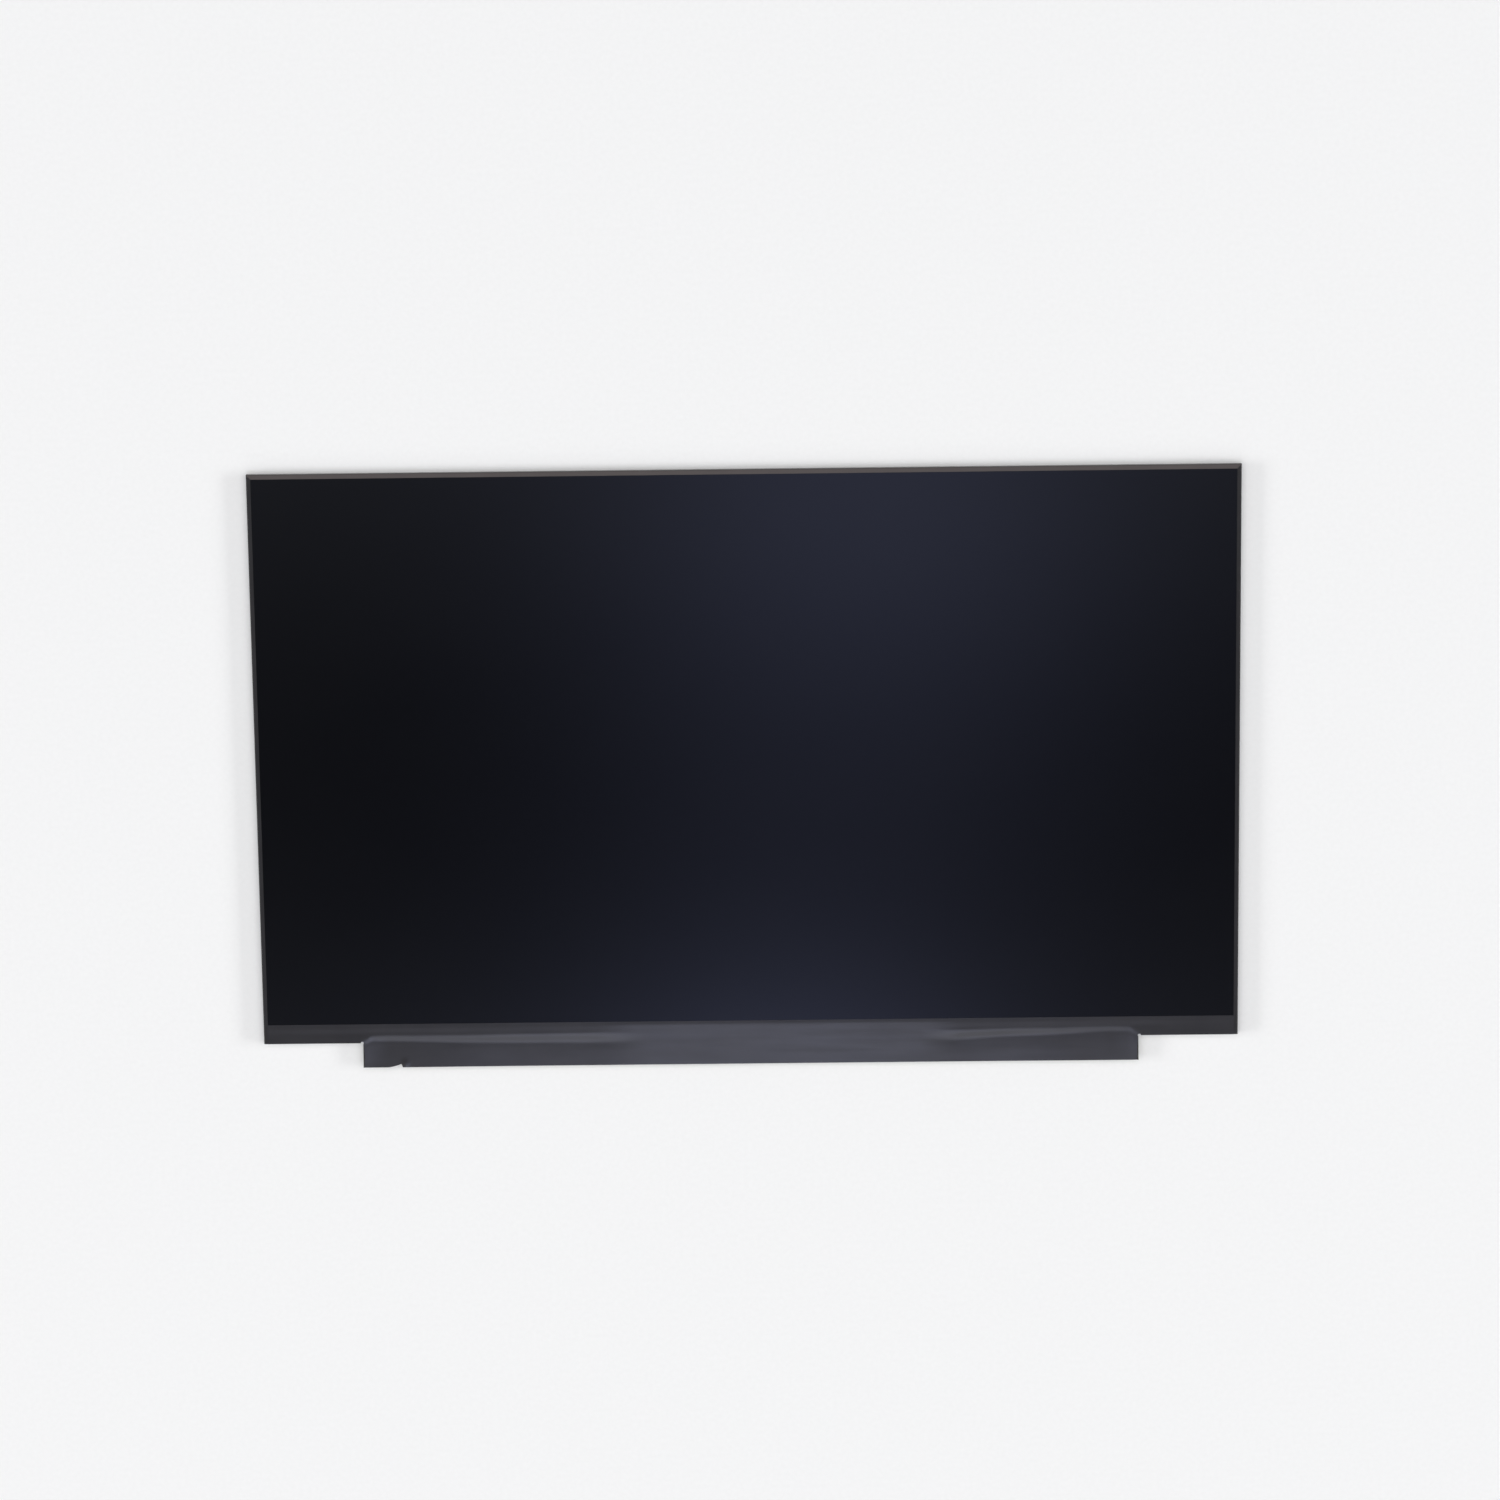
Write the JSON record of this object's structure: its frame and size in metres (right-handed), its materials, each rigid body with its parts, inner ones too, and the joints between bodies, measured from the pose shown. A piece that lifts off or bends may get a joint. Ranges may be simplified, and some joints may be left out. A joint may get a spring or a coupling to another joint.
{
  "type": "laptop screen panel",
  "caption": "Slim laptop LCD panel with black taped edges and a narrow driver board under a stepped black tape along its lower edge.",
  "frame": {"origin": "centre of the back plate's rear face, which is the face the panel lies on and is glued by", "axes": "+X to the right seen from the front, +Y towards the screen's top edge, +Z out of the screen"},
  "size_m": [0.3506, 0.2162, 0.0026],
  "materials": {
    "plate_aluminium": "rolled aluminium sheet, fine grain",
    "frame_white": "moulded white polycarbonate",
    "reflector_white": "white reflector film",
    "guide_clear": "clear acrylic",
    "optical_film": "milky optical film",
    "tape_black": "black polyester tape with a soft sheen",
    "polariser": "dark anti-glare polariser film",
    "cell_glass": "thin display glass",
    "film_amber": "amber polyimide film",
    "silicon": "bare silicon",
    "board_green": "green solder mask over glass fibre board",
    "connector_plastic": "ivory moulded connector plastic",
    "shell_steel": "stamped stainless sheet",
    "contact_gold": "gold plated contact",
    "chip_black": "moulded chip package",
    "ferrite": "pressed ferrite",
    "capacitor_tan": "ceramic capacitor body",
    "resistor_dark": "glazed chip resistor",
    "led_white": "white LED package",
    "foil": "conductive foil tape"
  },
  "bodies": {
    "root": {"back_plate": "plate_aluminium", "mould_frame": "frame_white", "reflector_sheet": "reflector_white", "light_guide": "guide_clear", "diffuser_sheet": "optical_film", "lower_prism_sheet": "optical_film", "upper_prism_sheet": "optical_film", "led_bar_tape": "reflector_white", "led_flex": "film_amber", "leds": "led_white", "rim_tape": "tape_black", "rear_polariser": "polariser", "array_glass": "cell_glass", "colour_filter_glass": "cell_glass", "front_polariser": "polariser", "top_edge_tape": "tape_black", "left_edge_tape": "tape_black", "right_edge_tape": "tape_black", "cover_tape": "tape_black", "driver_films": "film_amber", "driver_chips": "silicon", "source_board": "board_green", "connector_housing": "connector_plastic", "connector_shell": "shell_steel", "connector_contacts": "contact_gold", "timing_controller": "chip_black", "memory_chip": "chip_black", "power_chip": "chip_black", "gamma_chip": "chip_black", "level_shifter": "chip_black", "backlight_driver": "chip_black", "power_inductors": "ferrite", "backlight_inductor": "ferrite", "rectifier_diode": "chip_black", "input_fuse": "capacitor_tan", "large_capacitors": "capacitor_tan", "small_capacitors": "capacitor_tan", "chip_resistors": "resistor_dark", "ground_tapes": "foil"}
  },
  "joints": []
}
